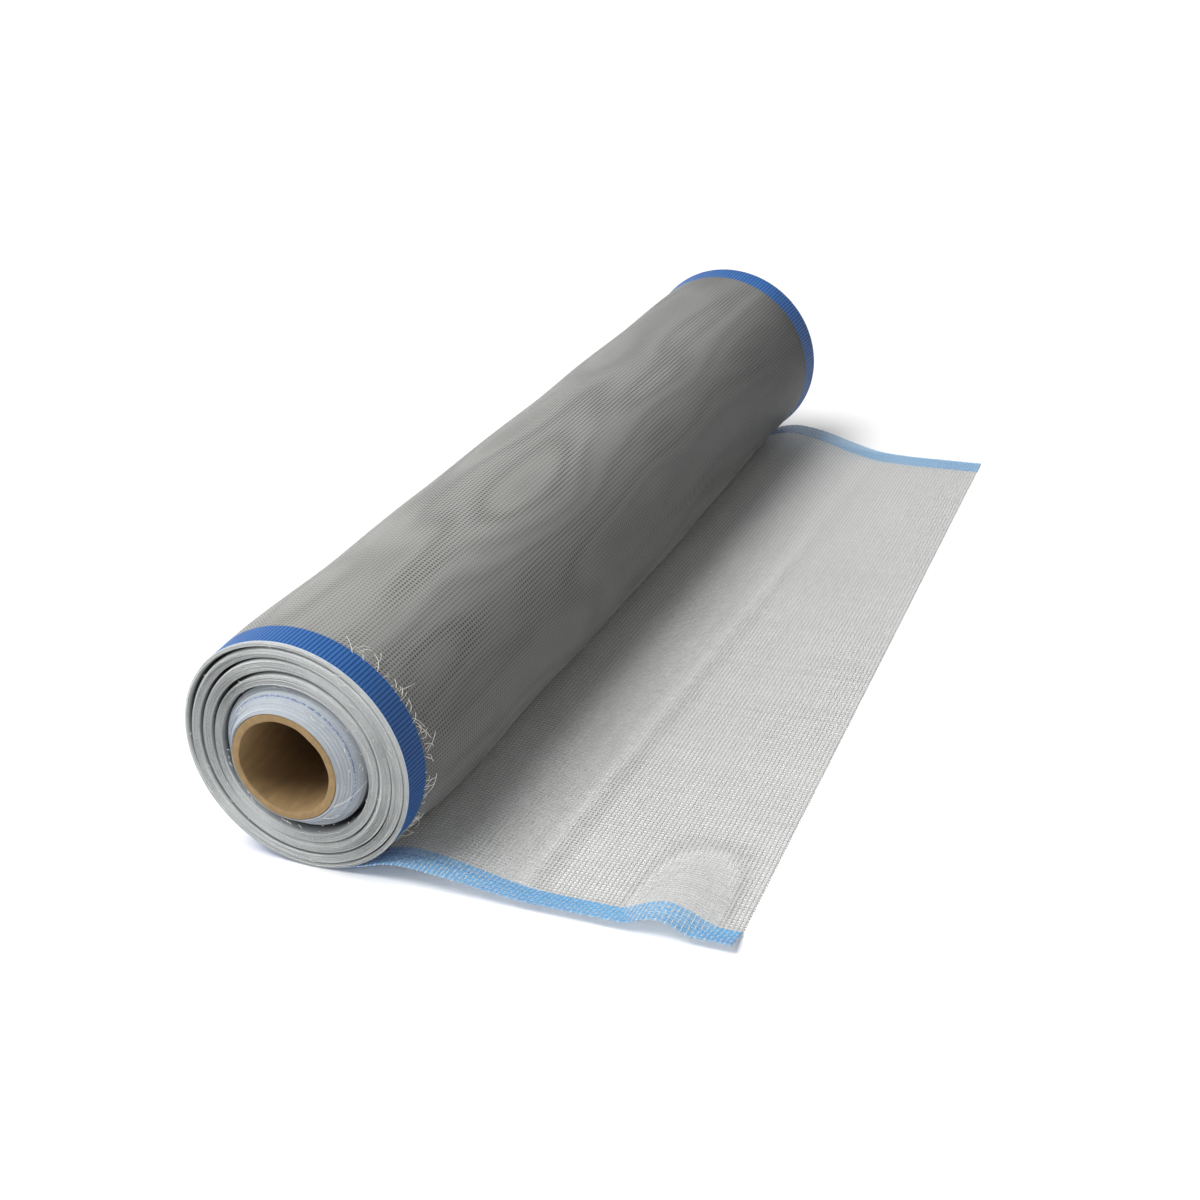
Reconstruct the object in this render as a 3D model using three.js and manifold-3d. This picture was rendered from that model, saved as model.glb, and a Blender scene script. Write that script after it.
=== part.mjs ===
import * as THREE from 'three';
import { mergeVertices } from 'three/addons/utils/BufferGeometryUtils.js';
import Module from 'manifold-3d';

// A roll of plastic insect screen, wound on a cardboard tube and lying on its side.
// The roll's axis runs along Y, its near end faces -Y, and the floor is Z = 0.
// The last turn leaves the coil underneath and lies on the floor towards +X.
// Shapes are drawn with the roll's axis over X = 0, and the whole roll is centred last.

// Driving dimensions in millimetres
const webWidth = 600; // selvage to selvage, which is also the length of every turn
const webThickness = 0.35; // woven screen, at the crossings of its threads
const coilDiameter = 126; // over the outermost turn
const coreBore = 50; // inside of the cardboard tube
const coreWall = 4; // wall of the cardboard tube
const coreFit = 0.3; // clearance between the tube and the first turn
const coreSlide = 9.5; // how far the tube and the first turns have slid out at the near end
const collarThickness = 10; // the first turns, which slid out with the tube, measured along the radius
const collarSink = 3; // how far the outermost of those turns lies behind the other turns' ends
const collarGap = 1.6; // open gap between the slid turns and the rest
const collarGapDepth = 14; // how deep that gap runs from the ends of the outer turns
const turnGap = 0.9; // a loose gap between two groups of turns
const turnGapDepth = 4; // how deep such a gap runs
const turnGroups = [1, 2, 2.2, 2]; // how the outer turns share their thickness, outermost group first
const looseEndNear = 223; // from the roll's axis to the cut edge, at the near selvage
const looseEndFar = 190; // the same at the far selvage
const looseEndStart = 12; // from the roll's axis to where the last turn parts from the coil
const partingHeight = 2.6; // the web's underside there
const archReach = 52; // from the roll's axis to the crest where the last turn springs off the coil
const archHeight = 11; // underside of the web at that crest
const archLanding = 125; // from the roll's axis to where the web comes down on the floor
const rippleReach = 186; // from the roll's axis to the crest of the near selvage's second ripple
const rippleHeight = 10.5; // that crest
const rippleWidth = 30; // from that crest to its foot, each way
const rippleDepth = 95; // how far the ripple runs in from the near selvage
const troughHeight = 5; // the near selvage between its two crests
const troughDepth = 22; // how far that curl runs in from the near selvage
const farDrift = 14; // how far the far selvage has been drawn in at the cut edge
const driftStart = 30; // from the roll's axis to where that drawing in starts
const driftEnd = 150; // from the roll's axis to where it is complete

// The loose end's fine mesh is drawn as a coarse grid of openings between bars
const selvageWidth = 16.6; // dense woven edge of the web, left whole
const rootReach = 36; // from the roll's axis to the first opening, clear of the coil
const barWidth = 7; // a bar between two openings, and at the cut edge
const openingsAcross = 12;
const openingsAlong = 4;

// Facets round the roll, and steps across and along each opening
const facets = 48;
const stepsAcross = 2;
const stepsAlong = 5;

const coilRadius = coilDiameter / 2;
const coreRadius = coreBore / 2 + coreWall;
const coilBoreRadius = coreRadius + coreFit;
const collarRadius = coilBoreRadius + collarThickness;
const nearEnd = -webWidth / 2;
const farEnd = webWidth / 2;
// One facet of the coil lies flat on the floor
const halfFacet = Math.PI / facets;
const axisHeight = coilRadius * Math.cos(halfFacet);

// A profile of [radius, place along the axis] turned about the roll's axis
function turned(profile) {
  const points = profile.map(([radius, along]) => new THREE.Vector2(radius, along));
  points.push(points[0].clone());
  const geometry = new THREE.LatheGeometry(points, facets, halfFacet);
  geometry.translate(0, 0, axisHeight);
  return geometry;
}

// How far the turns at one radius have slid towards the near end
function slideAt(radius) {
  const across = (radius - coilBoreRadius) / collarThickness;
  return coreSlide - across * (coreSlide + collarSink);
}

// One end of the coil from its rim to its bore; out is -1 at the near end and 1 at the far end
function coilEnd(end, out) {
  const shares = turnGroups.reduce((sum, share) => sum + share, 0);
  const gaps = (turnGroups.length - 1) * turnGap;
  const wound = coilRadius - collarRadius - collarGap - gaps;
  const profile = [];
  let radius = coilRadius;
  turnGroups.forEach((share, index) => {
    const last = index === turnGroups.length - 1;
    const gap = last ? collarGap : turnGap;
    const depth = last ? collarGapDepth : turnGapDepth;
    profile.push([radius, end]);
    radius -= wound * share / shares;
    profile.push([radius, end], [radius, end - out * depth], [radius - gap, end - out * depth]);
    radius -= gap;
  });
  profile.push([collarRadius, end - slideAt(collarRadius)]);
  profile.push([coilBoreRadius, end - slideAt(coilBoreRadius)]);
  return profile;
}

// A smooth step from 0 at from to 1 at to
function ease(value, from, to) {
  const share = Math.min(Math.max((value - from) / (to - from), 0), 1);
  return share * share * (3 - 2 * share);
}

// Underside of the loose end above the floor, at x from the roll's axis and inwards from the near selvage
function looseEndHeight(x, inwards) {
  const springing = partingHeight + (archHeight - partingHeight) * ease(x, looseEndStart, archReach);
  const arch = springing * (1 - ease(x, archReach, archLanding));
  const atEdge = 1 - ease(inwards, 0, troughDepth);
  const curl = troughHeight * ease(x, archReach, archLanding) * atEdge;
  const crest = 1 - ease(Math.abs(x - rippleReach), 0, rippleWidth);
  const ripple = rippleHeight * crest * (1 - ease(inwards, 0, rippleDepth));
  return Math.max(arch + curl, ripple);
}

// Grid lines over a length that starts with one bar, ends with another and has openings between them
function gridLines(length, firstBar, lastBar, openings, steps) {
  const pitch = (length - firstBar - lastBar + barWidth) / openings;
  const lines = [0];
  for (let opening = 0; opening < openings; opening += 1) {
    for (let step = 0; step <= steps; step += 1) {
      lines.push(firstBar + opening * pitch + (pitch - barWidth) * step / steps);
    }
  }
  lines.push(length);
  return lines;
}

// The loose end is one thin closed sheet with its openings left out of it
function looseEnd() {
  const positions = [];
  const faces = [];
  const across = gridLines(webWidth, selvageWidth, selvageWidth, openingsAcross, stepsAcross);
  const rows = across.map((inwards) => {
    const reach = looseEndNear + (looseEndFar - looseEndNear) * inwards / webWidth;
    return gridLines(reach - looseEndStart, rootReach - looseEndStart, barWidth, openingsAlong, stepsAlong);
  });
  const columns = across.length;
  const lines = rows[0].length;
  for (const lift of [0, webThickness]) {
    for (let i = 0; i < lines; i += 1) {
      for (let j = 0; j < columns; j += 1) {
        const inwards = across[j];
        const x = looseEndStart + rows[j][i];
        const drift = farDrift * inwards / webWidth * ease(x, driftStart, driftEnd);
        positions.push(x, nearEnd + inwards - drift, looseEndHeight(x, inwards) + lift);
      }
    }
  }
  const isBar = (i, j) => {
    const inside = i >= 0 && j >= 0 && i < lines - 1 && j < columns - 1;
    return inside && (i % (stepsAlong + 1) === 0 || j % (stepsAcross + 1) === 0);
  };
  const quad = (a, b, c, d) => faces.push(a, b, c, a, c, d);
  const sheet = lines * columns;
  // an upright face from corner a to corner b, on the right of that way
  const wall = (a, b) => quad(a, b, sheet + b, sheet + a);
  for (let i = 0; i < lines - 1; i += 1) {
    for (let j = 0; j < columns - 1; j += 1) {
      if (!isBar(i, j)) continue;
      const [a, b] = [i * columns + j, i * columns + j + 1];
      const [d, c] = [a + columns, b + columns];
      quad(a, b, c, d);
      quad(sheet + a, sheet + d, sheet + c, sheet + b);
      if (!isBar(i, j - 1)) wall(a, d);
      if (!isBar(i, j + 1)) wall(c, b);
      if (!isBar(i - 1, j)) wall(b, a);
      if (!isBar(i + 1, j)) wall(d, c);
    }
  }
  const geometry = new THREE.BufferGeometry();
  geometry.setAttribute('position', new THREE.Float32BufferAttribute(positions, 3));
  geometry.setIndex(faces);
  return geometry;
}

const wasm = await Module();
wasm.setup();

function toSolid(geometry) {
  const bare = geometry.clone();
  bare.deleteAttribute('normal');
  bare.deleteAttribute('uv');
  const merged = mergeVertices(bare);
  return new wasm.Manifold(new wasm.Mesh({
    numProp: 3,
    vertProperties: new Float32Array(merged.attributes.position.array),
    triVerts: new Uint32Array(merged.index.array),
  }));
}

function toGeometry(solid) {
  const mesh = solid.getMesh();
  const geometry = new THREE.BufferGeometry();
  geometry.setAttribute('position', new THREE.BufferAttribute(mesh.vertProperties, 3));
  geometry.setIndex(new THREE.BufferAttribute(mesh.triVerts, 1));
  return geometry;
}

// The cardboard tube, as long as the web is wide
function coreTube() {
  const boreRadius = coreBore / 2;
  const near = nearEnd - coreSlide;
  const far = farEnd - coreSlide;
  return turned([[coreRadius, near], [coreRadius, far], [boreRadius, far], [boreRadius, near]]);
}

// The screen is one web: the coil, and the last turn's loose end running on from it
function insectScreen() {
  const nearProfile = coilEnd(nearEnd, -1);
  const farProfile = coilEnd(farEnd, 1);
  const coil = turned([...nearProfile.reverse(), ...farProfile]);
  return toGeometry(toSolid(coil).add(toSolid(looseEnd())));
}

const cardboard = new THREE.MeshStandardMaterial({ color: 0x9c7a4c, roughness: 0.85, metalness: 0 });
const wovenScreen = new THREE.MeshStandardMaterial({ color: 0x8b8c89, roughness: 0.6, metalness: 0 });

const roll = new THREE.Group();
roll.position.set((axisHeight - looseEndNear) / 2, (coreSlide - collarSink) / 2, 0);

const core = new THREE.Mesh(coreTube(), cardboard);
core.name = 'core_tube';
roll.add(core);

const screen = new THREE.Mesh(insectScreen(), wovenScreen);
screen.name = 'insect_screen';
roll.add(screen);

export default roll;
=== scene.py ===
import math

import bpy
import numpy as np
from mathutils import Matrix, Vector


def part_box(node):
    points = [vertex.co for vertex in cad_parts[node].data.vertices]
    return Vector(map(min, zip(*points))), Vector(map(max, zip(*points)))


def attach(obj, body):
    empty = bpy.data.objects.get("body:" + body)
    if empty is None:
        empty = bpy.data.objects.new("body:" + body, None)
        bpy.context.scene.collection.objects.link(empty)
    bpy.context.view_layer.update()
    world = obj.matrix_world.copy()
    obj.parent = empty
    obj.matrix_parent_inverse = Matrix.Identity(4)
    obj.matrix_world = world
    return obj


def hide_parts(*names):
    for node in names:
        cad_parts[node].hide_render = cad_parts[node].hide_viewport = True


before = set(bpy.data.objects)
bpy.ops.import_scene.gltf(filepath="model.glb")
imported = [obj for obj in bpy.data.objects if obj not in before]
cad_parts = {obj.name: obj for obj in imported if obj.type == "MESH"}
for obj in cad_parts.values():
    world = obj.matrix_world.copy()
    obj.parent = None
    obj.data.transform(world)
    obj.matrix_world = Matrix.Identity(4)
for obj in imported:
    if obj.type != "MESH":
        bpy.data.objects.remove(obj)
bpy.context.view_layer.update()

mm = 0.001

# Places that come from the frame
tubeLow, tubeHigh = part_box("core_tube")
screenLow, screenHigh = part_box("insect_screen")
coreSlide = 9.5 * mm
rollX = (tubeLow[0] + tubeHigh[0]) / 2
axisZ = (tubeLow[2] + tubeHigh[2]) / 2
webWidth = tubeHigh[1] - tubeLow[1]
nearY = tubeLow[1] + coreSlide
coilRadius = rollX - screenLow[0]
tubeRadius = (tubeHigh[2] - tubeLow[2]) / 2

camera = {
    "azimuth": 26.15,
    "elevation": 26.27,
    "roll": -4.47,
    "distance": 1.0505,
    "aim": (73.5 * mm, -101.9 * mm, 63 * mm),
    "lens": 57.2,
}

stage = {
    "floorSize": 40,
    "floorDrop": 0.3 * mm,
    # height of a direction above the horizon, and how bright the sky is there
    "skyFade": {"From Min": 0.28, "From Max": 0.6, "To Min": 1.0, "To Max": 0.1},
    "sunPower": 3.3,
    "sunSpread": 34,
    "sunHeading": (0.36, 0.30, -1),
    "frontPower": 7,
    "frontSize": 0.8,
    "frontPlace": (-0.9, -1.8, 0.8),
    "frontAim": (-0.3, 0.06),
}

weave = {
    "pitch": 2.2 * mm,
    "threadsAround": 180,
    "selvage": 16.6 * mm,
    "edge": 0.9 * mm,
}

tube = {
    "around": 128,
    "wall": 4 * mm,
    "rounding": 0.5 * mm,
    "cuts": 12,
    "dent": 0.25 * mm,
    "rimDepth": 0.8 * mm,
}

coil = {
    "around": 192,
    "along": 96,
    "turn": 0.35 * mm,
    "groups": (1, 2, 2.2, 2),
    "fit": 0.3 * mm,
    "gap": 0.75 * mm,
    "looseGap": 1.2 * mm,
    "gapWidestAt": tuple(np.radians((150, 170, 128))),
    "gapDepth": 7 * mm,
    "collar": 10 * mm,
    "collarSink": 3 * mm,
    "collarGap": 1.0 * mm,
    "collarLooseGap": 1.8 * mm,
    "collarWidestAt": -0.7,
    "collarGapDepth": 14 * mm,
    "turnValley": 0.45 * mm,
    "turnScatter": 0.3 * mm,
    "unevenness": 0.07,
    "groupWave": 0.45 * mm,
    "groupStep": 1.2 * mm,
    "rimRounding": 0.9 * mm,
    "innerRounding": 0.45 * mm,
    "collarValley": 0.25 * mm,
    "collarCrest": 0.35 * mm,
    "collarScatter": 0.12 * mm,
    "girth": (1, 1.005, 0.993, 0.990, 1.008),
    "swells": 7,
    "swell": 0.16 * mm,
    "sag": 4.5 * mm,
    "sagAngle": -0.95,
    "sagWidth": 0.45,
    "edgeRows": (0.5, 2, 4, 7, 10, 13.5, 17, 21, 26, 32),
    "seed": 4,
    "skinSeed": 13,
}

# The woven skin's look: half widths of its threads in pitches, and shares of colours and of painted shade
# mixed in
skinLook = {
    "weftHalf": 0.33,
    "warpHalf": 0.38,
    "belowHalf": 0.3,
    "belowShare": 0.55,
    "drift": 4.4,
    "sway": 2.4,
    "contours": 2.6,
    "contourShare": 0.15,
    "shadedFlankAngle": 0.1,
    "flankShadeShare": 0.6,
    "farShadeShare": 0.4,
    "relief": 0.35 * mm,
}

looseEnd = {
    "start": 12 * mm,
    "nearReach": 223 * mm,
    "farReach": 190 * mm,
    "farDrift": 14 * mm,
    "driftStart": 30 * mm,
    "driftEnd": 150 * mm,
    "parting": 2.6 * mm,
    "archReach": 52 * mm,
    "archHeight": 11 * mm,
    "archLanding": 125 * mm,
    "rippleReach": 186 * mm,
    "rippleHeight": 10.5 * mm,
    "rippleWidth": 30 * mm,
    "rippleDepth": 95 * mm,
    "troughHeight": 5 * mm,
    "troughDepth": 22 * mm,
    "threadWidth": 0.85 * mm,
    "threadThickness": 0.2 * mm,
    "selvageThreads": 21,
    "selvageThreadWidth": 0.55 * mm,
    "cover": 0.45,
    "seed": 11,
}

fray = {
    "threads": 62,
    "lowest": -0.95,
    "highest": 1.1,
    "shortest": 3 * mm,
    "longest": 13 * mm,
    "width": 0.24 * mm,
    "clearance": 0.15 * mm,
    "hairs": 110,
    "hairReach": (1.5, 5),
    "loopHeights": ((1.5, 2.0), (12.0, 6.0)),
    "loopAngles": ((-0.62, -0.95), (-0.12, -0.80)),
    "loopLift": 2.2 * mm,
    "steps": 9,
    "seed": 23,
}


def deselect():
    if bpy.context.object and bpy.context.object.mode != "OBJECT":
        bpy.ops.object.mode_set(mode="OBJECT")
    bpy.ops.object.select_all(action="DESELECT")


# Materials: shader maths is written with Value, and every other node comes from Finish.add
class Value:
    def __init__(self, finish, socket):
        self.finish = finish
        self.socket = socket

    def maths(self, operation, other=None, swap=False):
        pair = [self] if other is None else [other, self] if swap else [self, other]
        inputs = dict(enumerate(pair))
        return self.finish.add("ShaderNodeMath", {"operation": operation}, inputs)

    def __add__(self, other):
        return self.maths("ADD", other)

    __radd__ = __add__

    def __sub__(self, other):
        return self.maths("SUBTRACT", other)

    def __rsub__(self, other):
        return self.maths("SUBTRACT", other, True)

    def __mul__(self, other):
        return self.maths("MULTIPLY", other)

    __rmul__ = __mul__

    def __truediv__(self, other):
        return self.maths("DIVIDE", other)

    def __pow__(self, other):
        return self.maths("POWER", other)

    def __lt__(self, other):
        return self.maths("LESS_THAN", other)

    def __gt__(self, other):
        return self.maths("GREATER_THAN", other)

    def __mod__(self, other):
        return self.maths("FLOORED_MODULO", other)

    def __abs__(self):
        return self.maths("ABSOLUTE")

    def floor(self):
        return self.maths("FLOOR")

    def max(self, other):
        return self.maths("MAXIMUM", other)

    def min(self, other):
        return self.maths("MINIMUM", other)

    def clamp(self):
        return self.max(0).min(1)


class Finish:
    def __init__(self, name, **sockets):
        self.material = bpy.data.materials.new(name)
        self.material.use_nodes = True
        self.tree = self.material.node_tree
        self.shader = self.tree.nodes["Principled BSDF"]
        for socket, value in sockets.items():
            self.shader.inputs[socket.replace("_", " ")].default_value = value

    def add(self, kind, settings=None, inputs=None, output=0):
        node = self.tree.nodes.new(kind)
        for key, value in (settings or {}).items():
            setattr(node, key, value)
        for key, value in (inputs or {}).items():
            self.plug(value, node.inputs[key])
        return Value(self, node.outputs[output])

    def plug(self, value, socket):
        if isinstance(value, Value):
            self.tree.links.new(value.socket, socket)
        elif isinstance(value, tuple) and len(value) == 3 and socket.type == "RGBA":
            socket.default_value = (*value, 1)
        else:
            socket.default_value = value

    def set(self, **sockets):
        for socket, value in sockets.items():
            self.plug(value, self.shader.inputs[socket.replace("_", " ")])
        return self.material

    def noise(self, vector, scale, detail=3, roughness=0.55):
        return self.add(
            "ShaderNodeTexNoise", None,
            {"Vector": vector, "Scale": scale, "Detail": detail, "Roughness": roughness},
        )

    def place(self):
        return self.add("ShaderNodeTexCoord", None, None, "Object")

    def split(self, vector):
        parts = self.add("ShaderNodeSeparateXYZ", None, {0: vector})
        node = parts.socket.node
        return [Value(self, node.outputs[axis]) for axis in range(3)]

    def stretch(self, vector, scale):
        return self.add("ShaderNodeMapping", None, {"Vector": vector, "Scale": scale})

    def mix(self, factor, first, second):
        return self.add("ShaderNodeMix", {"data_type": "RGBA"}, {0: factor, 6: first, 7: second}, 2)

    def bump(self, height, distance, strength):
        inputs = {"Height": height, "Distance": distance, "Strength": strength}
        return self.add("ShaderNodeBump", None, inputs)

    def attribute(self, name):
        return self.add("ShaderNodeAttribute", {"attribute_name": name}, None, "Fac")

    def map(self, name):
        return self.add("ShaderNodeUVMap", {"uv_map": name})


def wovenSkinFinish():
    finish = Finish("woven screen on the roll", Specular_IOR_Level=0.16)
    look = skinLook
    around, across = finish.split(finish.map("threads"))[:2]
    place = finish.place()
    half = webWidth / weave["pitch"] / 2
    fromMiddle = abs(across - half)
    selvageThreads = weave["selvage"] / weave["pitch"]
    selvage = (fromMiddle - (half - selvageThreads)) > 0
    edge = (fromMiddle - (half - weave["edge"] / weave["pitch"])) > 0

    def thread(coordinate, halfWidth):
        off = abs(coordinate % 1 - 0.5) / halfWidth
        return (1 - off * off).clamp()

    over = (around.floor() + across.floor()) % 2
    weft = thread(around, look["weftHalf"]) * (0.72 + 0.28 * over)
    warp = thread(across, look["warpHalf"]) * (0.9 - 0.28 * over)
    top = weft.max(warp)

    # the turn below shows through the holes, drifting in and out of step with the top one
    drift = finish.noise(finish.stretch(place, (1, 0.22, 1)), 13, 2) * look["drift"]
    sway = finish.noise(finish.stretch(place, (1, 0.4, 1)), 22, 1) * look["sway"]
    weftBelow = thread(around * 1.012 + drift, look["belowHalf"])
    warpBelow = thread(across * 1.006 + sway, look["belowHalf"])
    cover = top + (1 - top) * weftBelow.max(warpBelow) * look["belowShare"]

    # that drift shows as pale contour lines, like the grain of a board
    contour = thread(drift * look["contours"], 0.5)
    # painted shade: the flank over the loose end is darkened as if in shadow, and so is the far end
    share = across / (2 * half)
    fromFlank = around * (2 * math.pi / weave["threadsAround"]) - (math.pi + look["shadedFlankAngle"])
    paintedFlankShade = (1 - fromFlank * fromFlank).clamp()
    paintedShade = paintedFlankShade * look["flankShadeShare"] + look["farShadeShare"] * share * share
    patch = finish.noise(place, 26, 4)
    # the holes between threads are painted near black, as the shade deep inside the roll
    ground = finish.mix(cover, (0.012, 0.012, 0.012), (0.37, 0.37, 0.355))
    ground = finish.mix((patch - 0.35) * 0.35, ground, (0.18, 0.19, 0.18))
    ground = finish.mix(contour * contour * look["contourShare"], ground, (0.56, 0.57, 0.55))
    ground = finish.mix(paintedShade, ground, (0.022, 0.022, 0.022))

    rib = thread(around, 0.46)
    fine = thread(across * 3, 0.5)
    body = 0.6 * rib + 0.15 * fine + 0.25 * patch
    blue = finish.mix(body, (0.003, 0.012, 0.085), (0.05, 0.20, 0.55))
    # the blue selvage gets the same painted shade on the flank
    blue = finish.mix(paintedFlankShade * 0.5, blue, (0.003, 0.008, 0.045))
    colour = finish.mix(selvage, ground, blue)
    colour = finish.mix(edge, colour, (0.62, 0.72, 0.80))
    relief = cover * (1 - selvage) + (0.8 * rib + 0.3 * fine) * selvage
    normal = finish.bump(relief, look["relief"], 0.8)
    return finish.set(Base_Color=colour, Normal=normal, Roughness=0.62 - 0.2 * cover)


def turnEndsFinish():
    finish = Finish("cut edges of the turns", Roughness=0.75)
    place = finish.place()
    gap = finish.attribute("gap").clamp()
    collar = finish.attribute("collar").clamp()
    x, _, z = finish.split(place)
    radius = ((x - rollX) * (x - rollX) + (z - axisZ) * (z - axisZ)) ** 0.5
    speck = finish.noise(place, 900, 3, 0.7)
    patch = finish.noise(place, 60, 3)
    pale = finish.mix(patch, (0.56, 0.58, 0.58), (0.74, 0.75, 0.74))
    cool = finish.mix(patch, (0.40, 0.44, 0.48), (0.56, 0.59, 0.63))
    base = finish.mix(collar, pale, cool)
    # one blue thread shows in broken dashes round the collar
    threadRadius = tubeRadius + coil["collar"] * 0.62
    thread = (abs(radius - threadRadius) < 0.3 * mm) * (speck > 0.46) * collar
    base = finish.mix(thread * 0.75, base, (0.05, 0.13, 0.34))
    base = finish.mix((speck - 0.5).clamp() * 1.8, base, (0.33, 0.38, 0.45))
    # painted shade darkens the gaps between groups of turns and the valleys between their ridges
    colour = finish.mix(gap ** 0.8, base, (0.045, 0.05, 0.055))
    normal = finish.bump(speck, 0.45 * mm, 0.8)
    return finish.set(Base_Color=colour, Normal=normal)


def cardboardFinish():
    finish = Finish("brown paper tube", Roughness=0.8)
    place = finish.place()
    depth, rimPart = finish.attribute("depth"), finish.attribute("rim")
    fibre = finish.noise(finish.stretch(place, (1, 0.25, 1)), 260, 5, 0.65)
    patch = finish.noise(place, 38, 3)
    paper = finish.mix(fibre, (0.09, 0.048, 0.018), (0.27, 0.145, 0.055))
    paper = finish.mix(patch * 0.6, paper, (0.24, 0.15, 0.07))
    # painted shade darkens the paper deeper inside the tube
    paper = finish.mix(((depth - 0.03) * 9).clamp() * 0.8, paper, (0.03, 0.018, 0.008))
    rim = finish.mix(fibre, (0.15, 0.095, 0.04), (0.34, 0.225, 0.10))
    colour = finish.mix(rimPart, paper, rim)
    normal = finish.bump(fibre + patch, 0.2 * mm, 0.5)
    return finish.set(Base_Color=colour, Normal=normal, Roughness=0.7 + 0.2 * fibre)


def threadFinish(name, light, dark, roughness):
    finish = Finish(name, Roughness=roughness)
    place = finish.place()
    grain = finish.noise(place, 420, 2)
    slow = finish.noise(place, 18, 3)
    stripe = finish.noise(finish.stretch(place, (3, 330, 3)), 1, 1)
    mixed = 0.25 * grain + 0.3 * slow + 0.45 * stripe
    colour = finish.mix(((mixed - 0.5) * 2.4 + 0.5).clamp(), dark, light)
    return finish.set(Base_Color=colour)


def floorFinish():
    finish = Finish("pale floor", Roughness=0.9)
    return finish.set(Base_Color=(0.93, 0.93, 0.93))


def finishPiece(piece, name, materials, replaces=None):
    piece.name = name
    piece.data.name = name
    piece.data.materials.clear()
    for material in materials:
        piece.data.materials.append(material)
    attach(piece, "root")
    if replaces:
        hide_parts(replaces)
    print("made", name, len(piece.data.polygons), "faces")


def addCamera():
    azimuth, elevation = math.radians(camera["azimuth"]), math.radians(camera["elevation"])
    roll = math.radians(camera["roll"])
    back = Vector((
        math.sin(azimuth) * math.cos(elevation),
        -math.cos(azimuth) * math.cos(elevation),
        math.sin(elevation),
    ))
    right = Vector((0, 0, 1)).cross(back).normalized()
    up = back.cross(right)
    turnedRight = math.cos(roll) * right + math.sin(roll) * up
    turnedUp = -math.sin(roll) * right + math.cos(roll) * up
    middle = Vector((rollX, nearY + webWidth / 2, 0))
    data = bpy.data.cameras.new("camera")
    data.lens = camera["lens"]
    data.sensor_width = 36
    data.clip_start = 0.01
    data.clip_end = 50
    eye = bpy.data.objects.new("camera", data)
    bpy.context.scene.collection.objects.link(eye)
    turn = Matrix((turnedRight, turnedUp, back)).transposed().to_4x4()
    eye.matrix_world = Matrix.Translation(middle + Vector(camera["aim"]) + back * camera["distance"]) @ turn
    bpy.context.scene.camera = eye


def addLamp(name, kind, heading, settings):
    data = bpy.data.lights.new(name, kind)
    for key, value in settings.items():
        setattr(data, key, value)
    lamp = bpy.data.objects.new(name, data)
    bpy.context.scene.collection.objects.link(lamp)
    lamp.rotation_euler = heading.to_track_quat("-Z", "Y").to_euler()
    return lamp


def addStage():
    deselect()
    bpy.ops.mesh.primitive_plane_add(size=stage["floorSize"], location=(0, 0, -stage["floorDrop"]))
    floor = bpy.context.object
    floor.name = "floor"
    floor.data.materials.append(floorFinish())
    world = bpy.data.worlds.new("sky")
    world.use_nodes = True
    nodes, links = world.node_tree.nodes, world.node_tree.links
    nodes["Background"].inputs["Color"].default_value = (1, 1, 1, 1)
    # white towards the horizon and dim overhead
    direction = nodes.new("ShaderNodeTexCoord")
    axes = nodes.new("ShaderNodeSeparateXYZ")
    fade = nodes.new("ShaderNodeMapRange")
    for socket, value in stage["skyFade"].items():
        fade.inputs[socket].default_value = value
    links.new(direction.outputs["Generated"], axes.inputs[0])
    links.new(axes.outputs["Z"], fade.inputs["Value"])
    links.new(fade.outputs["Result"], nodes["Background"].inputs["Strength"])
    bpy.context.scene.world = world
    sun = {"energy": stage["sunPower"], "angle": math.radians(stage["sunSpread"])}
    addLamp("overhead", "SUN", Vector(stage["sunHeading"]), sun)
    place = Vector(stage["frontPlace"])
    aim = Vector((rollX, *stage["frontAim"]))
    front = addLamp("front", "AREA", aim - place, {"energy": stage["frontPower"], "size": stage["frontSize"]})
    front.location = place
    bpy.context.scene.view_settings.view_transform = "Standard"
    print("stage and lights ready")


# Ends edit mode with every face of the edited piece turned outwards
def faceOutwards():
    bpy.ops.mesh.select_all(action="SELECT")
    bpy.ops.mesh.normals_make_consistent(inside=False)
    bpy.ops.object.mode_set(mode="OBJECT")


def addLayer(mesh, name, values):
    layer = mesh.attributes.new(name, "FLOAT", "POINT")
    layer.data.foreach_set("value", values.reshape(-1).astype(np.float32))


def ease(value, low, high):
    share = np.clip((value - low) / (high - low), 0, 1)
    return share * share * (3 - 2 * share)
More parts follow.
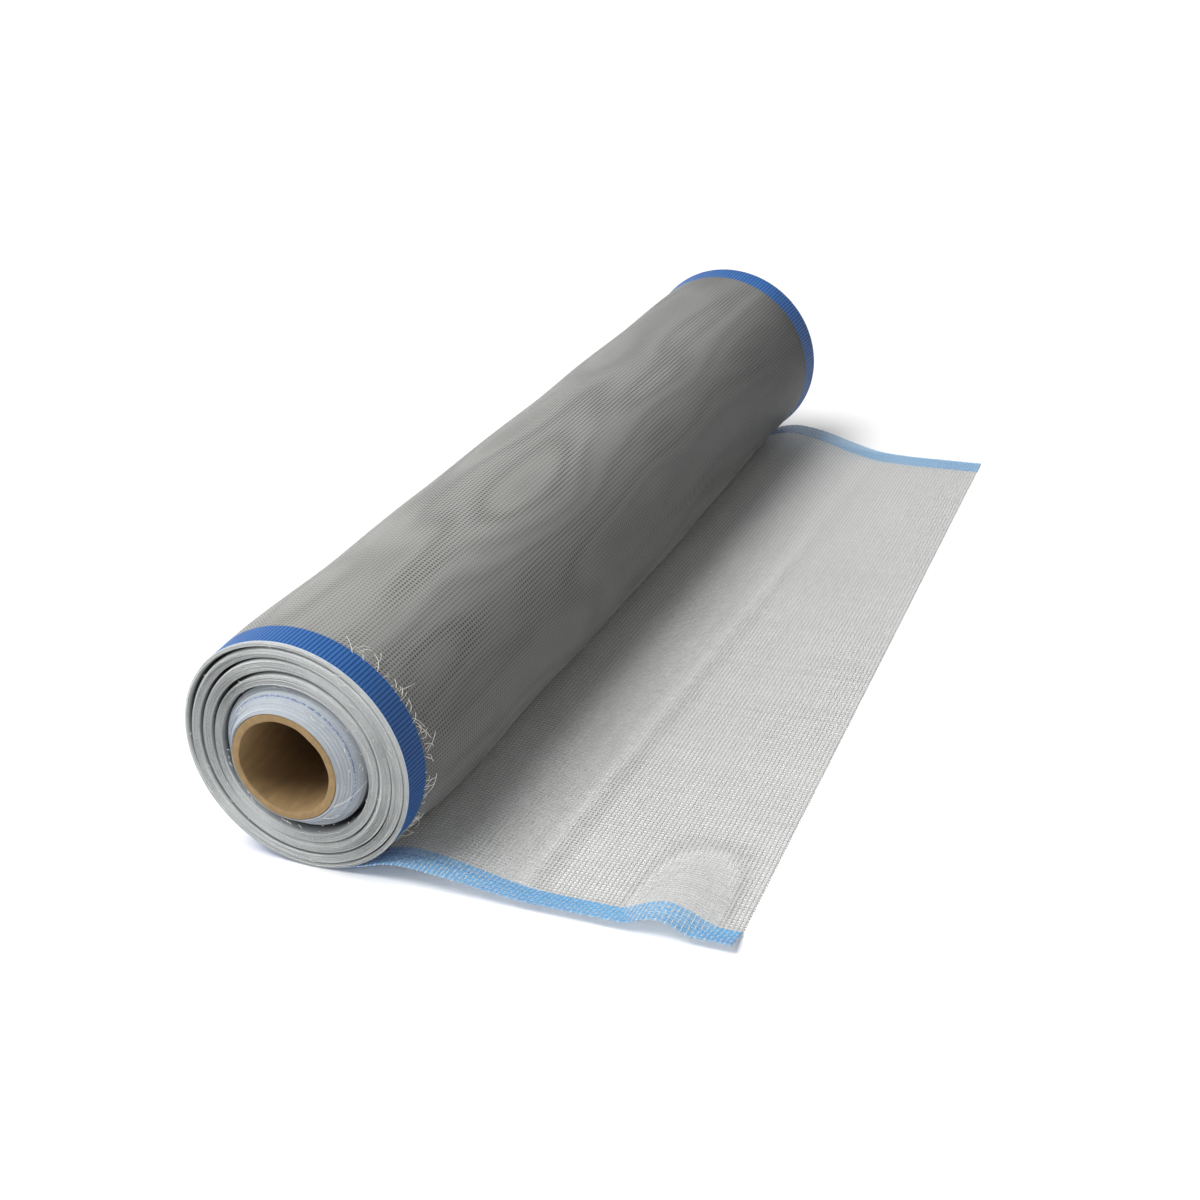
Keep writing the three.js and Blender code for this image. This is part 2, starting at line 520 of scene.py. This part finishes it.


# One end of the coil: radius, place along the roll and how much painted shade each point gets for lying deep
# in a gap, outermost first
def windEnd(angles, turnsPerRidge, rng):
    shares = np.array(coil["groups"], float)
    count = len(shares)
    collarRadius = tubeRadius + coil["fit"] + coil["collar"]

    def gapWidth(narrowest, extra, widestAt):
        return narrowest + extra * (0.5 + 0.5 * np.cos(angles - widestAt)) ** 2

    gaps = [gapWidth(coil["gap"], coil["looseGap"], angle) for angle in coil["gapWidestAt"]]
    collarGap = gapWidth(coil["collarGap"], coil["collarLooseGap"], coil["collarWidestAt"])
    wound = coilRadius - collarRadius - collarGap - sum(gaps)
    meanWound = float(wound.mean())
    radii, places, gapShades, collars = [], [], [], []

    # the third value is painted shade: a little in the valleys between ridges, most on a gap's floor
    def put(radius, place, depth, onCollar=0.0):
        radii.append(radius)
        places.append(place + 0 * angles)
        gapShades.append(np.full(len(angles), depth))
        collars.append(np.full(len(angles), onCollar))

    def waves(size):
        phase = rng.uniform(0, 2 * np.pi, 3)
        return size * sum(np.sin((k + 1) * angles + phase[k]) / (k + 1) for k in range(3))

    # no group is evenly thick all round
    k = np.arange(count)[:, None]
    uneven = 1 + coil["unevenness"] * (np.sin(2 * angles + 1.7 * k) + 0.6 * np.sin(5 * angles + 2.3 * k))
    portions = shares[:, None] * uneven / (shares[:, None] * uneven).sum(0)
    radius = coilRadius + 0 * angles
    for k in range(count):
        thickness = wound * portions[k]
        ridges = max(3, round(meanWound * shares[k] / shares.sum() / coil["turn"] / turnsPerRidge))
        stand = waves(coil["groupWave"]) + coil["groupStep"] * k / count
        for ridge in range(ridges):
            outer = radius - thickness * ridge / ridges
            top = radius - thickness * (ridge + 0.5) / ridges
            jitter = stand + waves(coil["turnScatter"]) + rng.normal(0, coil["turnScatter"])
            rounding = {0: coil["rimRounding"], ridges - 1: coil["innerRounding"]}.get(ridge, 0)
            put(outer, stand - coil["turnValley"] - rounding, 0.16 if ridge else 0.05)
            put(top, jitter - 0.4 * rounding, 0.0)
        radius = radius - thickness
        gap = gaps[k] if k < count - 1 else collarGap
        depth = coil["gapDepth"] if k < count - 1 else coil["collarGapDepth"]
        # down one wall of the gap to its floor, and half way up the other wall
        put(radius, stand - coil["turnValley"], 0.4)
        put(radius - gap * 0.08, stand - 0.5 * depth, 0.95)
        put(radius - gap * 0.5, stand - depth, 1.0)
        put(radius - gap * 0.92, -0.5 * depth, 0.95)
        radius = radius - gap
    ridges = round(coil["collar"] / coil["turn"] / turnsPerRidge)
    for ridge in range(ridges + 1):
        share = ridge / ridges
        outer = collarRadius - coil["collar"] * share
        out = -coil["collarSink"] + (coreSlide + coil["collarSink"]) * share
        wobble = waves(coil["collarScatter"]) + rng.normal(0, coil["collarScatter"])
        put(outer + 0 * angles, out - coil["collarValley"], 0.08 if ridge else 0.6, 1.0)
        if ridge < ridges:
            crest = outer - 0.55 * coil["collar"] / ridges
            put(crest + 0 * angles, out + coil["collarCrest"] + wobble, 0.0, 1.0)
    return [np.array(x).T for x in (radii, places, gapShades, collars)]


# The coil's outside, which is a little uneven and sags where the last turn leaves it
def skinRadius(angles, along):
    share = along / webWidth
    selvage = weave["selvage"] / webWidth
    girth = np.interp(share, (0, selvage, 0.5, 1 - selvage, 1), coil["girth"])
    rng = np.random.default_rng(coil["skinSeed"])
    swell = 0
    for _ in range(coil["swells"]):
        cycles, turn = rng.integers(0, 4), rng.uniform(1.5, 5)
        swell = swell + np.sin(cycles * angles + turn * 2 * np.pi * share + rng.uniform(0, 6.3))
    swell = swell * ease(share, 0, 0.06) * (1 - ease(share, 0.94, 1))
    sag = coil["sag"] * np.exp(-((angles - coil["sagAngle"]) / coil["sagWidth"]) ** 2)
    sag = sag * ease(share, 0.02, 0.1) * (1 - ease(share, 0.55, 0.95))
    return coilRadius * girth + coil["swell"] * swell + sag


def makeCoil():
    around, along = coil["around"], coil["along"]
    angles = np.linspace(-np.pi, np.pi, around + 1)
    rng = np.random.default_rng(coil["seed"])
    nearR, nearOut, nearGapShade, nearCollar = windEnd(angles, 1, rng)
    farR, farOut, farGapShade, farCollar = windEnd(angles, 2, rng)
    # the far end mirrors the slide: what stands out at the near end is set back at the far end
    collarFar = farCollar > 0
    edgeRows = np.array(coil["edgeRows"]) * mm / webWidth
    middleRows = np.linspace(0.065, 0.935, along - 2 * len(edgeRows))
    shares = np.concatenate([edgeRows, middleRows, 1 - edgeRows[::-1]])
    skin = np.array([[skinRadius(a, webWidth * s) for s in shares] for a in angles])
    nearFit = skinRadius(angles, 0.0)[:, None] / coilRadius
    farFit = skinRadius(angles, webWidth)[:, None] / coilRadius
    nearR = nearR * (1 + (nearFit - 1) * ease(nearR, coilRadius * 0.7, coilRadius))
    farR = farR * (1 + (farFit - 1) * ease(farR, coilRadius * 0.7, coilRadius))
    farPlace = np.where(collarFar, webWidth - farOut, webWidth + farOut)
    radius = np.concatenate([skin[:, ::-1], nearR, farR[:, ::-1]], axis=1)
    skinPlace = webWidth * np.tile(shares[::-1], (around + 1, 1))
    place = np.concatenate([skinPlace, -nearOut, farPlace[:, ::-1]], axis=1)
    gap = np.concatenate([0 * skin, nearGapShade, farGapShade[:, ::-1]], axis=1)
    collar = np.concatenate([0 * skin, nearCollar, farCollar[:, ::-1]], axis=1)
    closed = [np.concatenate([x, x[:, :1]], axis=1) for x in (radius, place, gap, collar)]
    radius, place, gap, collar = closed
    points = np.stack([
        rollX + radius * np.cos(angles)[:, None],
        nearY + place,
        axisZ + radius * np.sin(angles)[:, None],
    ], axis=-1)
    points[..., 2] = np.maximum(points[..., 2], 0)

    deselect()
    ring = radius.shape[1]
    bpy.ops.mesh.primitive_grid_add(x_subdivisions=ring - 1, y_subdivisions=around, size=1)
    piece = bpy.context.object
    mesh = piece.data
    mesh.vertices.foreach_set("co", points.reshape(-1))
    corners = np.empty(len(mesh.loops), int)
    mesh.loops.foreach_get("vertex_index", corners)
    uv = np.stack([
        corners // ring * weave["threadsAround"] / around,
        place.reshape(-1)[corners] / weave["pitch"],
    ], -1)
    while mesh.uv_layers:
        mesh.uv_layers.remove(mesh.uv_layers[0])
    mesh.uv_layers.new(name="threads").data.foreach_set("uv", uv.reshape(-1))
    # the gap layer carries the painted shade of the gaps and valleys
    addLayer(mesh, "gap", gap)
    addLayer(mesh, "collar", collar)
    # faces between points of the skin are woven, all others are cut edges
    onSkin = (corners % ring).reshape(-1, 4) < along
    mesh.polygons.foreach_set("material_index", np.where(onSkin.all(1), 0, 1))
    bpy.ops.object.mode_set(mode="EDIT")
    bpy.ops.mesh.select_all(action="SELECT")
    bpy.ops.mesh.remove_doubles(threshold=0.000001)
    faceOutwards()
    bpy.ops.object.shade_smooth_by_angle(angle=math.radians(50))
    indices = np.empty(len(mesh.polygons), int)
    mesh.polygons.foreach_get("material_index", indices)
    finishPiece(piece, "coil", [wovenSkinFinish(), turnEndsFinish()], "insect_screen")
    mesh.polygons.foreach_set("material_index", indices)


def makeTube():
    deselect()
    bpy.ops.mesh.primitive_cylinder_add(
        vertices=tube["around"], radius=tubeRadius, depth=webWidth, end_fill_type="NOTHING",
        location=(rollX, tubeLow[1] + webWidth / 2, axisZ), rotation=(math.pi / 2, 0, 0),
    )
    piece = bpy.context.object
    bpy.ops.object.transform_apply(location=True, rotation=True, scale=True)
    bpy.ops.object.mode_set(mode="EDIT")
    for cut in range(tube["cuts"]):
        place = tubeLow[1] + webWidth * (cut + 1) / (tube["cuts"] + 1)
        bpy.ops.mesh.select_all(action="SELECT")
        bpy.ops.mesh.bisect(plane_co=(rollX, place, axisZ), plane_no=(0, 1, 0))
    faceOutwards()
    wall = piece.modifiers.new("wall", "SOLIDIFY")
    wall.thickness = tube["wall"]
    wall.offset = -1
    rim = piece.modifiers.new("rim", "BEVEL")
    rim.width = tube["rounding"]
    rim.segments = 3
    rim.limit_method = "ANGLE"
    rim.angle_limit = math.radians(50)
    for modifier in ("wall", "rim"):
        bpy.ops.object.modifier_apply(modifier=modifier)
    mesh = piece.data
    co = np.empty(len(mesh.vertices) * 3)
    mesh.vertices.foreach_get("co", co)
    co = co.reshape(-1, 3)
    nearRim = np.abs(co[:, 1] - tubeLow[1]) < tube["rimDepth"]
    farRim = np.abs(co[:, 1] - tubeHigh[1]) < tube["rimDepth"]
    # the depth layer feeds the painted shade deeper inside the tube
    addLayer(mesh, "depth", (co[:, 1] - tubeLow[1]) / webWidth)
    addLayer(mesh, "rim", nearRim | farRim)
    # the paper's rim is dented a little
    angle = np.arctan2(co[:, 2] - axisZ, co[:, 0] - rollX)
    dent = tube["dent"] * (np.sin(5 * angle + 1) + np.sin(11 * angle + 2) * 0.6)
    co[:, 1] += np.where(nearRim, dent, 0)
    mesh.vertices.foreach_set("co", co.reshape(-1))
    bpy.ops.object.shade_smooth_by_angle(angle=math.radians(40))
    finishPiece(piece, "paper_tube", [cardboardFinish()], "core_tube")


# Height of the loose end above the floor, at x from the roll's axis and at inwards from the near selvage
def looseHeight(x, inwards):
    e = looseEnd
    springing = e["parting"] + (e["archHeight"] - e["parting"]) * ease(x, e["start"], e["archReach"])
    arch = springing * (1 - ease(x, e["archReach"], e["archLanding"]))
    atEdge = 1 - ease(inwards, 0, e["troughDepth"])
    curl = e["troughHeight"] * ease(x, e["archReach"], e["archLanding"]) * atEdge
    crest = 1 - ease(np.abs(x - e["rippleReach"]), 0, e["rippleWidth"])
    ripple = e["rippleHeight"] * crest * (1 - ease(inwards, 0, e["rippleDepth"]))
    return np.maximum(arch + curl, ripple)


# Points on the loose end: share runs from the coil to the cut edge, inwards from the near selvage
def loosePoint(share, inwards):
    e = looseEnd
    across = inwards / webWidth
    reach = e["nearReach"] + (e["farReach"] - e["nearReach"]) * across
    x = e["start"] + (reach - e["start"]) * share
    y = nearY + inwards - e["farDrift"] * across * ease(x, e["driftStart"], e["driftEnd"])
    return np.stack([rollX + x, y, looseHeight(x, inwards)], -1)


# Threads as thin four-sided bars that follow rows of points, all joined in one mesh
def threadMesh(name, rows, width, thickness, sideways):
    count, steps = rows.shape[:2]
    sides = np.array([[1, 0], [0, 1], [-1, 0], [0, -1]]) * (width / 2, thickness / 2)
    section = sides[:, 0, None] * np.array(sideways) + sides[:, 1, None] * np.array((0, 0, 1))
    points = (rows[:, :, None, :] + section[None, None]).reshape(-1, 3)
    base = (np.arange(count)[:, None, None] * steps + np.arange(steps - 1)[None, :, None]) * 4
    side = np.arange(4)[None, None, :]
    following = (side + 1) % 4
    corners = [base + side, base + 4 + side, base + 4 + following, base + following]
    faces = np.stack(corners, -1).reshape(-1, 4)
    first = np.arange(count) * steps * 4
    last = first + (steps - 1) * 4
    ends = np.concatenate([first[:, None] + np.array([0, 1, 2, 3]), last[:, None] + np.array([3, 2, 1, 0])])
    mesh = bpy.data.meshes.new(name)
    mesh.from_pydata(points.tolist(), [], np.concatenate([faces, ends]).tolist())
    mesh.update()
    piece = bpy.data.objects.new(name, mesh)
    bpy.context.scene.collection.objects.link(piece)
    deselect()
    piece.select_set(True)
    bpy.context.view_layer.objects.active = piece
    bpy.ops.object.mode_set(mode="EDIT")
    faceOutwards()
    bpy.ops.object.shade_smooth_by_angle(angle=math.radians(100))
    return piece


def makeLooseEnd():
    e = looseEnd
    pitch = weave["pitch"]
    rng = np.random.default_rng(e["seed"])
    length = (e["nearReach"] + e["farReach"]) / 2 - e["start"]
    wefts = round(length / pitch)
    body = webWidth - 2 * weave["selvage"]
    bodyWarps = round(body / pitch)
    warpPlaces = weave["selvage"] + body * (np.arange(bodyWarps) + 0.5) / bodyWarps
    edgePlaces = weave["selvage"] * (np.arange(e["selvageThreads"]) + 0.5) / e["selvageThreads"]
    weftShares = (np.arange(wefts) + 0.5) / wefts
    lift = e["threadThickness"] * 0.42
    ground = threadFinish("pale grey thread", (0.63, 0.63, 0.615), (0.49, 0.49, 0.48), 0.5)
    blue = threadFinish("blue selvage thread", (0.20, 0.52, 0.80), (0.045, 0.22, 0.52), 0.4)

    def warps(places, name, finish, width):
        shares = np.concatenate([[0], weftShares, [1]])
        rows = loosePoint(shares[None, :], places[:, None] + 0 * shares[None, :])
        sign = (-1.0) ** (np.arange(len(places))[:, None] + np.arange(len(shares))[None, :])
        rows[..., 1] += rng.normal(0, 0.05 * pitch, (len(places), 1))
        rows[..., 2] += e["threadThickness"] + lift * sign
        piece = threadMesh(name, rows, width, e["threadThickness"], (0, 1, 0))
        finishPiece(piece, name, [finish], "insect_screen")
        return piece

    bodyPiece = warps(warpPlaces, "loose_end_warps", ground, e["threadWidth"])
    selvages = np.concatenate([edgePlaces, webWidth - edgePlaces[::-1]])
    selvagePiece = warps(selvages, "loose_end_selvages", blue, e["selvageThreadWidth"])
    inSelvage = edgePlaces[1::3]
    places = np.concatenate([[0], inSelvage, warpPlaces, webWidth - inSelvage[::-1], [webWidth]])
    shares = weftShares + rng.normal(0, 0.04 / wefts, wefts)
    rows = loosePoint(shares[:, None] + 0 * places[None, :], places[None, :] + 0 * shares[:, None])
    sign = (-1.0) ** (np.arange(wefts)[:, None] + np.arange(len(places))[None, :] + 1)
    rows[..., 2] += e["threadThickness"] + lift * sign
    weftPiece = threadMesh("loose_end_wefts", rows, e["threadWidth"], e["threadThickness"], (1, 0, 0))
    finishPiece(weftPiece, "loose_end_wefts", [ground], "insect_screen")


# Threads that have worked loose along the near selvage, across the turns' ends and on the collar
def makeFray():
    e = fray
    rng = np.random.default_rng(e["seed"])
    s = np.linspace(0, 1, e["steps"])[None, :]

    def spread(low, high, count):
        return rng.uniform(low, high, (count, 1))

    def rolled(radius, angle, y):
        return np.stack([rollX + radius * np.cos(angle), y, axisZ + radius * np.sin(angle)], -1)

    count = e["threads"]
    reach = spread(e["shortest"], e["longest"], count) * spread(0.4, 1, count)
    angle = spread(e["lowest"], e["highest"], count)
    y = nearY + weave["selvage"] + spread(-1.5, 2.5, count) * mm + reach * spread(0.25, 1, count) * s
    turned = angle + reach / coilRadius * (spread(-0.7, 0.7, count) * s + spread(-0.7, 0.7, count) * s * s)
    lift = reach * spread(0.08, 0.42, count) * np.sin(np.pi * s * spread(0.45, 1, count))
    skin = skinRadius(turned, y - nearY)
    rows = [rolled(skin + e["clearance"] + lift, turned, y)]

    hairs = e["hairs"]
    radius = spread(tubeRadius + 2 * mm, coilRadius - 1 * mm, hairs)
    slide = np.interp(radius, (tubeRadius, tubeRadius + coil["collar"]), (coreSlide, -0.5 * mm))
    reach = spread(*e["hairReach"], hairs) * mm
    angle = spread(0, 2 * np.pi, hairs) + reach / radius * s * spread(-1, 1, hairs)
    out = nearY - slide - 0.9 * mm - reach * spread(0.02, 0.2, hairs) * np.sin(np.pi * s)
    rows.append(rolled(radius + reach * spread(-0.5, 0.5, hairs) * s * s, angle, out))

    def between(ends):
        first, last = np.array(ends)
        return first[:, None] + (last - first)[:, None] * s

    # two long loops on the collar, at its right
    loops = between(tubeRadius + np.array(e["loopHeights"]) * mm)
    arch = nearY - np.interp(loops, (tubeRadius, tubeRadius + coil["collar"]), (coreSlide, 0))
    out = arch - 0.6 * mm - e["loopLift"] * np.sin(np.pi * s)
    rows.append(rolled(loops, between(e["loopAngles"]), out))
    piece = threadMesh("frayed_threads", np.concatenate(rows), e["width"], e["width"], (0.8, 0.6, 0))
    pale = threadFinish("pale frayed thread", (0.92, 0.90, 0.84), (0.70, 0.67, 0.60), 0.5)
    finishPiece(piece, "frayed_threads", [pale])


addCamera()
addStage()
makeTube()
makeCoil()
makeLooseEnd()
makeFray()
